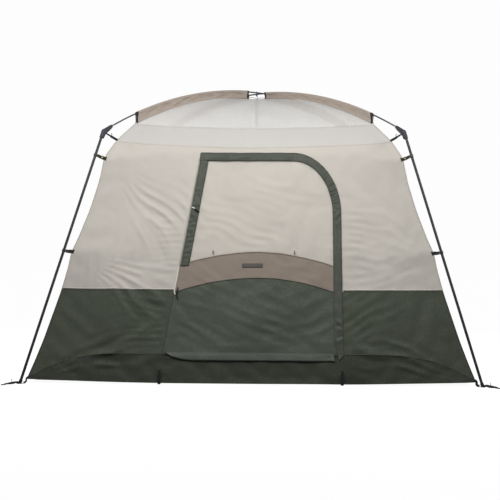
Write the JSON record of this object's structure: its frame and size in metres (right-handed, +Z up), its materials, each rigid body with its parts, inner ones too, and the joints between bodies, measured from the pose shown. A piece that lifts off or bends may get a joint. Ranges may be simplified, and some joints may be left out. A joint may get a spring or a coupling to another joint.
{
  "type": "cabin tent",
  "caption": "Square cabin-style camping tent with its fly off: steel legs, crossing roof poles in sleeves, mesh roof, two-tone walls and a zipped front door with an arched band.",
  "frame": {"origin": "centre of the floor's underside, on the ground", "axes": "+Z up; the door faces -Y; +X to the right when facing the door"},
  "size_m": [3.3636, 3.3636, 2.1783],
  "materials": {
    "bathtub_fabric": "matte",
    "green_fabric": "matte",
    "beige_fabric": "matte",
    "cover_fabric": "matte",
    "band_fabric": "matte",
    "mesh_fabric": "matte",
    "tan_fabric": "matte",
    "flap_fabric": "matte",
    "black_webbing": "matte",
    "steel_black": "satin",
    "grey_plastic": "satin",
    "black_plastic": "satin",
    "pole_fibreglass": "satin",
    "bright_steel": "satin",
    "yellow_plastic": "satin",
    "toggle_plastic": "satin"
  },
  "bodies": {
    "tent": {"apex_tie": "black_webbing", "bathtub_walls": "bathtub_fabric", "clip_straps": "black_webbing", "corner_straps": "black_webbing", "corner_tails": "black_webbing", "elbow_ferrules": "bright_steel", "elbow_front_left": "grey_plastic", "elbow_front_right": "grey_plastic", "elbow_rear_left": "grey_plastic", "elbow_rear_right": "grey_plastic", "elbow_straps": "black_webbing", "floor": "bathtub_fabric", "front_header": "beige_fabric", "front_lower_left_wall": "green_fabric", "front_lower_right_wall": "green_fabric", "front_upper_left_wall": "beige_fabric", "front_upper_right_wall": "beige_fabric", "lantern_loop": "black_webbing", "left_lower_wall": "green_fabric", "left_upper_wall": "beige_fabric", "leg_clips": "black_plastic", "leg_feet": "black_plastic", "lower_leg_front_left": "steel_black", "lower_leg_front_right": "steel_black", "lower_leg_rear_left": "steel_black", "lower_leg_rear_right": "steel_black", "pole_ferrules": "bright_steel", "pole_sleeves": "tan_fabric", "rear_lower_wall": "green_fabric", "rear_upper_wall": "beige_fabric", "right_lower_wall": "green_fabric", "right_upper_wall": "beige_fabric", "rings_and_pins": "bright_steel", "roof_mesh": "mesh_fabric", "roof_pole_a": "pole_fibreglass", "roof_pole_b": "pole_fibreglass", "stake_eyelets": "black_plastic", "stake_loops": "black_webbing", "strap_beads": "yellow_plastic", "top_band": "band_fabric", "upper_leg_front_left": "steel_black", "upper_leg_front_right": "steel_black", "upper_leg_rear_left": "steel_black", "upper_leg_rear_right": "steel_black", "window_meshes": "mesh_fabric"},
    "door": {"door_lower_panel": "green_fabric", "door_band": "tan_fabric", "door_window_mesh": "mesh_fabric", "storm_flap_top": "flap_fabric", "storm_flap_right": "flap_fabric", "storm_flap_left": "flap_fabric", "storm_flap_bottom": "flap_fabric", "door_toggles": "toggle_plastic"},
    "door_window_cover": {"door_window_cover": "cover_fabric"},
    "rear_window_cover": {"rear_window_cover": "cover_fabric"},
    "left_window_cover": {"left_window_cover": "cover_fabric"},
    "right_window_cover": {"right_window_cover": "cover_fabric"},
    "door_zip_slider": {"door_zip_slider": "black_plastic"},
    "sill_zip_slider": {"sill_zip_slider": "black_plastic"},
    "window_zip_slider": {"window_zip_slider": "black_plastic"}
  },
  "joints": [
    {"name": "door_hinge", "type": "hinge", "parent": "tent", "child": "door", "pos_m": [-0.607, -1.46808, 0.19], "axis": [-0.1536, -0.279, -0.9479], "range_deg": [0, 150]},
    {"name": "door_window", "type": "hinge", "parent": "door", "child": "door_window_cover", "pos_m": [0, -1.24843, 0.91859], "axis": [-1, 0, 0], "range_deg": [0, 160]},
    {"name": "rear_window", "type": "hinge", "parent": "tent", "child": "rear_window_cover", "pos_m": [0, 1.28316, 0.80059], "axis": [1, 0, 0], "range_deg": [0, 160]},
    {"name": "left_window", "type": "hinge", "parent": "tent", "child": "left_window_cover", "pos_m": [-1.28316, 0, 0.80059], "axis": [0, 1, 0], "range_deg": [0, 160]},
    {"name": "right_window", "type": "hinge", "parent": "tent", "child": "right_window_cover", "pos_m": [1.28316, 0, 0.80059], "axis": [0, -1, 0], "range_deg": [0, 160]},
    {"name": "door_zip", "type": "slide", "parent": "door", "child": "door_zip_slider", "axis": [-0.0097, 0.2823, 0.9593], "range_m": [0, 0.93]},
    {"name": "sill_zip", "type": "slide", "parent": "door", "child": "sill_zip_slider", "axis": [-1, 0, 0], "range_m": [0, 1.06]},
    {"name": "window_zip", "type": "slide", "parent": "door", "child": "window_zip_slider", "axis": [0.1536, 0.279, 0.9479], "range_m": [0, 0.88]}
  ]
}
